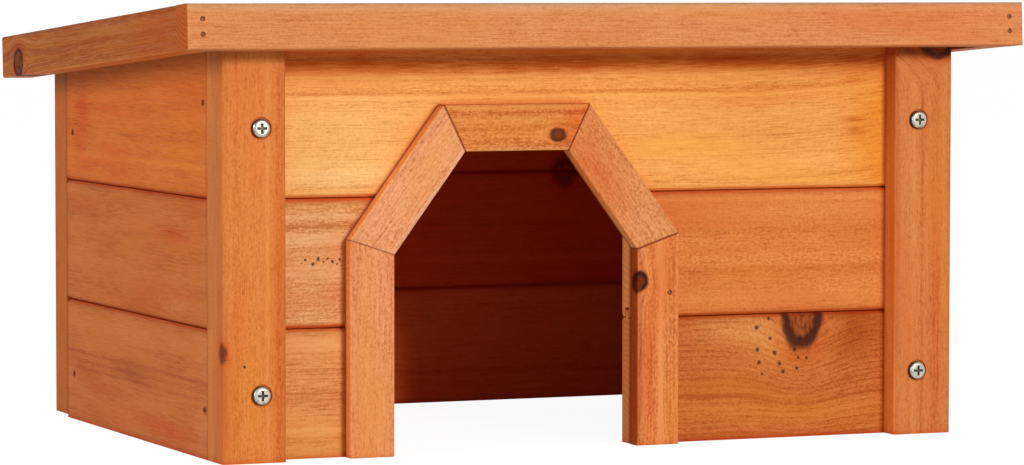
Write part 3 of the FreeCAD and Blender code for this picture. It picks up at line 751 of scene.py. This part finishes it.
# %% Fascias
fascia = dict(lines=0.25, worn=0.2, pooling=0.0)
lower_face = [(-roof_up, "bare")]
stained_wood("roof_front_fascia", right_way, roof_up, [0.624, 0.221, 0.073], heart=(46.0, 16.0), ends="dark_end_and_side_shade",
             spacing=2.2, threads=1.4, streaks=2.0, fuzz=1.6,
             bands=[Band(186.0, 1.6, -0.5), Band(190.5, 1.0, 0.3)],
             patches=[Patch(0, 187, 190, 2.0, "ash", 0.4), Patch(140, 185, 60, 8, "rust", 0.5),
                      # paler and greyer along the upper edge
                      Patch(0, reach("roof_front_fascia", roof_up)[1] - 0.4, 400, 1.4, "paler_grey", 1.0)],
             **fascia)
stained_wood("roof_left_fascia", roof_back, roof_up, [0.422, 0.118, 0.0205], heart=(-44.0, -14.0),
             sides=lower_face, spacing=4.4, threads=4.0, streaks=2.8, fuzz=1.6,
             knots=[Knot(99.0, 175.0, 7.4, 6.8, 0.85, 0.55, 0.06)],
             bands=[Band(178.0, 2.0, 0.7), Band(182.5, 1.6, -0.6), Band(172.5, 1.5, 0.5),
                    Band(187.0, 1.2, 0.6)],
             patches=[Patch(86, 178, 8, 6, "amber", 0.7), Patch(-110, 181, 36, 30, "rust", 0.9),
                      Patch(-20, 176, 50, 5, "rust", 0.5), Patch(20, 184, 50, 3, "umber", 0.35),
                      Patch(0, reach("roof_left_fascia", roof_up)[1] - 0.4, 400, 1.0, "umber", 0.6)],
             **fascia)
stained_wood("roof_right_fascia", roof_back, roof_up, [0.48, 0.135, 0.038], heart=(44.0, 14.0),
             sides=lower_face, threads=2.0,
             bands=[Band(180.0, 2.0, 0.4)], **fascia)
print("three fascias, roof falls", round(math.degrees(roof_fall), 2), "degrees")

# %% [markdown]
# ## Deck
# The deck is never seen in the photograph. Its boards get the same stain in three tones, with a knot each,
# and a rustier underside, painted shade, which shows when the lid is open. A loop is enough, since nothing
# tells them apart that the eye would know.

# %% Deck
deck_grounds = {"roof_board_front": [0.62, 0.195, 0.052], "roof_board_middle": [0.58, 0.170, 0.044],
                "roof_board_rear": [0.64, 0.205, 0.058]}
for number, (board_name, ground) in enumerate(deck_grounds.items()):
    knot_across = sum(reach(board_name, roof_back)) / 2 + 12.0
    stained_wood(board_name, right_way, roof_back, ground, heart=(-60.0 + 62.0 * number, 16.0), seam=0.45,
                 # painted shade on the underside
                 sides=[(-roof_up, "rust")], knots=[Knot(-96.0 + 110.0 * number, knot_across, 6.5, 5.5)])
print(len(deck_grounds), "deck boards")

# %% [markdown]
# ## Steel
# The post screws are bright zinc with a cross recess, the nails dulled under stain, the hinges plain zinc
# strip. All of them are one recipe with other numbers: a metal whose roughness and tone drift in small
# blotches, with fine scratches that a driver bit or a hammer leaves, and grime and painted shade in the
# recesses, where little open air reaches, which makes the dark cross in a screw head. The nails of the
# fascias and the surround were stained over with the wood, so theirs is a warmer brown.

# %% Steel
scratch_fineness, recess_reach = 3, 0.003


def plated_steel(name, tone, tarnish, smooth, spotted, size, grime_and_shade_share=1.0):
    material, start = new_material(name)
    place = start.node("TexCoord", output="Object")
    blotches = place.node("TexNoise", None, {"Vector": place, "Scale": millimetres / size, "Detail": 3.0})
    scratches = place.node("TexNoise", None, {
        "Vector": place, "Scale": millimetres * scratch_fineness / size, "Detail": 2.0, "Distortion": 1.5})
    open_air = start.node("AmbientOcclusion", {"samples": 8}, {"Distance": recess_reach}, output="AO")
    # grime and painted shade where the Ambient Occlusion node finds little open air
    grime_and_shade = rise(open_air, 0.99, 0.87) * grime_and_shade_share
    worn = rise(blotches, 0.62 - spotted, 0.72 - spotted * 0.5)
    colour = blend(worn * 0.8, tone + [1.0], tarnish + [1.0])
    colour = blend(grime_and_shade, colour, [part * 0.12 for part in tarnish] + [1.0])
    roughness = smooth + worn * 0.18 + (scratches - 0.5) * 0.25 + grime_and_shade * 0.4
    relief = start.node("Bump", None, {"Strength": 0.4, "Distance": 0.00005, "Height": scratches + blotches})
    surface = start.node("BsdfPrincipled", None, {
        "Base Color": colour, "Metallic": (1 - worn * 0.35) * (1 - grime_and_shade * 0.8), "Roughness": roughness,
        "Normal": relief})
    start.node("OutputMaterial", None, {"Surface": surface})
    return material


bright_zinc = plated_steel("bright_zinc", [0.50, 0.47, 0.39], [0.22, 0.20, 0.15], 0.26, 0.08, 1.6)
hinge_zinc = plated_steel("hinge_zinc", [0.56, 0.55, 0.52], [0.36, 0.35, 0.32], 0.34, 0.10, 3.0)
dull_nail = plated_steel("dull_nail", [0.20, 0.062, 0.022], [0.13, 0.040, 0.015], 0.60, 0.20, 0.9, grime_and_shade_share=0.4)
stained_nail = plated_steel("stained_nail", [0.44, 0.140, 0.044], [0.24, 0.070, 0.020], 0.60, 0.20, 0.9,
                            grime_and_shade_share=0.3)
stained_over = ("fascia_nails", "door_trim_nails")
for name, piece in nodes.items():
    if name in stained_over:
        dress(piece, stained_nail)
    elif name.endswith("_nails"):
        dress(piece, dull_nail)
    elif name.endswith("post_screws"):
        dress(piece, bright_zinc)
    elif name.startswith("hinge_"):
        dress(piece, hinge_zinc)
bare = [name for name, piece in nodes.items()
        if not piece.data.materials or not piece.data.materials[0].use_nodes]
print("pieces without a finish:", bare)

# %% [markdown]
# ## Floor
# The hut stands on white paper. What the camera sees of it has to be white, yet a white floor that lit the
# hut from below would wash out the dark room behind the doorway. Light Path tells the two apart: rays from
# the lens, from polished metal or through glass meet white, all others a plain pale floor. A share of the
# light that falls on the floor stays in the picture, so that the hut keeps its soft shadow there.

# %% Floor
def seen_directly(start):
    path = start.node("LightPath", output="Is Camera Ray")
    glossy = Signal(start.tree, path.socket.node.outputs["Is Glossy Ray"])
    through = Signal(start.tree, path.socket.node.outputs["Is Transmission Ray"])
    return path.math("MAXIMUM", path, glossy.math("MAXIMUM", glossy, through))


floor_half, floor_drop = 12.0, -0.0002
paper_white, shadow_share, paper_tone = [0.94] * 3 + [1.0], [0.15] * 3 + [1.0], [0.80, 0.79, 0.78, 1.0]
outline = [(x * floor_half, y * floor_half, floor_drop) for x, y in ((-1, -1), (1, -1), (1, 1), (-1, 1))]
paper = bpy.data.meshes.new("paper_floor")
paper.from_pydata(outline, [], [(0, 1, 2, 3)])
floor = bpy.data.objects.new("paper_floor", paper)
scene.collection.objects.link(floor)

material, start = new_material("pale_paper")
seen = seen_directly(start)
glow = start.node("Emission", None, {"Color": paper_white, "Strength": 1.0})
lit = start.node("BsdfDiffuse", None, {"Color": shadow_share})
both = start.node("AddShader", None, {0: glow, 1: lit})
plain = start.node("BsdfDiffuse", None, {"Color": paper_tone})
start.node("OutputMaterial", None, {"Surface": start.node("MixShader", None, {0: seen, 1: plain, 2: both})})
paper.materials.append(material)
print("floor", 2 * floor_half, "m wide")

# %% [markdown]
# ## World
# The world is the same white to the lens and to polished metal, and a plain dim grey to all other rays: it
# fills the shadows a little and leaves the modelling to the lamps.

# %% World
world_level = 0.30
world = bpy.data.worlds.new("white_studio")
world.use_nodes = True
world.node_tree.nodes.clear()
start = Signal(world.node_tree)
strength = seen_directly(start) * (1 - world_level) + world_level
sky = start.node("Background", None, {"Color": (1.0, 1.0, 1.0, 1.0), "Strength": strength})
start.node("OutputWorld", None, {"Surface": sky})
scene.world = world
print("world at", world_level)

# %% [markdown]
# ## Lamps
# The photograph has a soft light almost square to the front and low: the eave leaves only a thin soft shadow
# on the boards, and the posts hardly any. A second, weaker panel stands to the
# left, so that side is about a third darker and still shows its grain. Both are wide panels, since small
# lamps would give edges sharper than the real ones.

# %% Lamps
aim = Vector((0, 0, 0.1))


def panel(name, turn, tilt, distance, width, height, power):
    light = bpy.data.lights.new(name, "AREA")
    light.shape = "RECTANGLE"
    light.size, light.size_y, light.energy = width, height, power
    lamp = bpy.data.objects.new(name, light)
    turn, tilt = math.radians(turn), math.radians(tilt)
    toward = Vector((math.sin(turn) * math.cos(tilt), -math.cos(turn) * math.cos(tilt), math.sin(tilt)))
    lamp.location = aim + toward * distance
    lamp.rotation_euler = toward.to_track_quat("Z", "Y").to_euler()
    scene.collection.objects.link(lamp)
    print(name, "at", [round(side, 2) for side in lamp.location], "with", power, "W")


panel("front_panel", 12.0, 14.0, 2.4, 0.55, 0.30, 34.4)
panel("left_panel", -78.0, 18.0, 2.2, 1.0, 0.8, 20.3)

# %% [markdown]
# ## Sizes
# Nothing was added outside the solids, so the dressed hut fills the same box as the bare one.
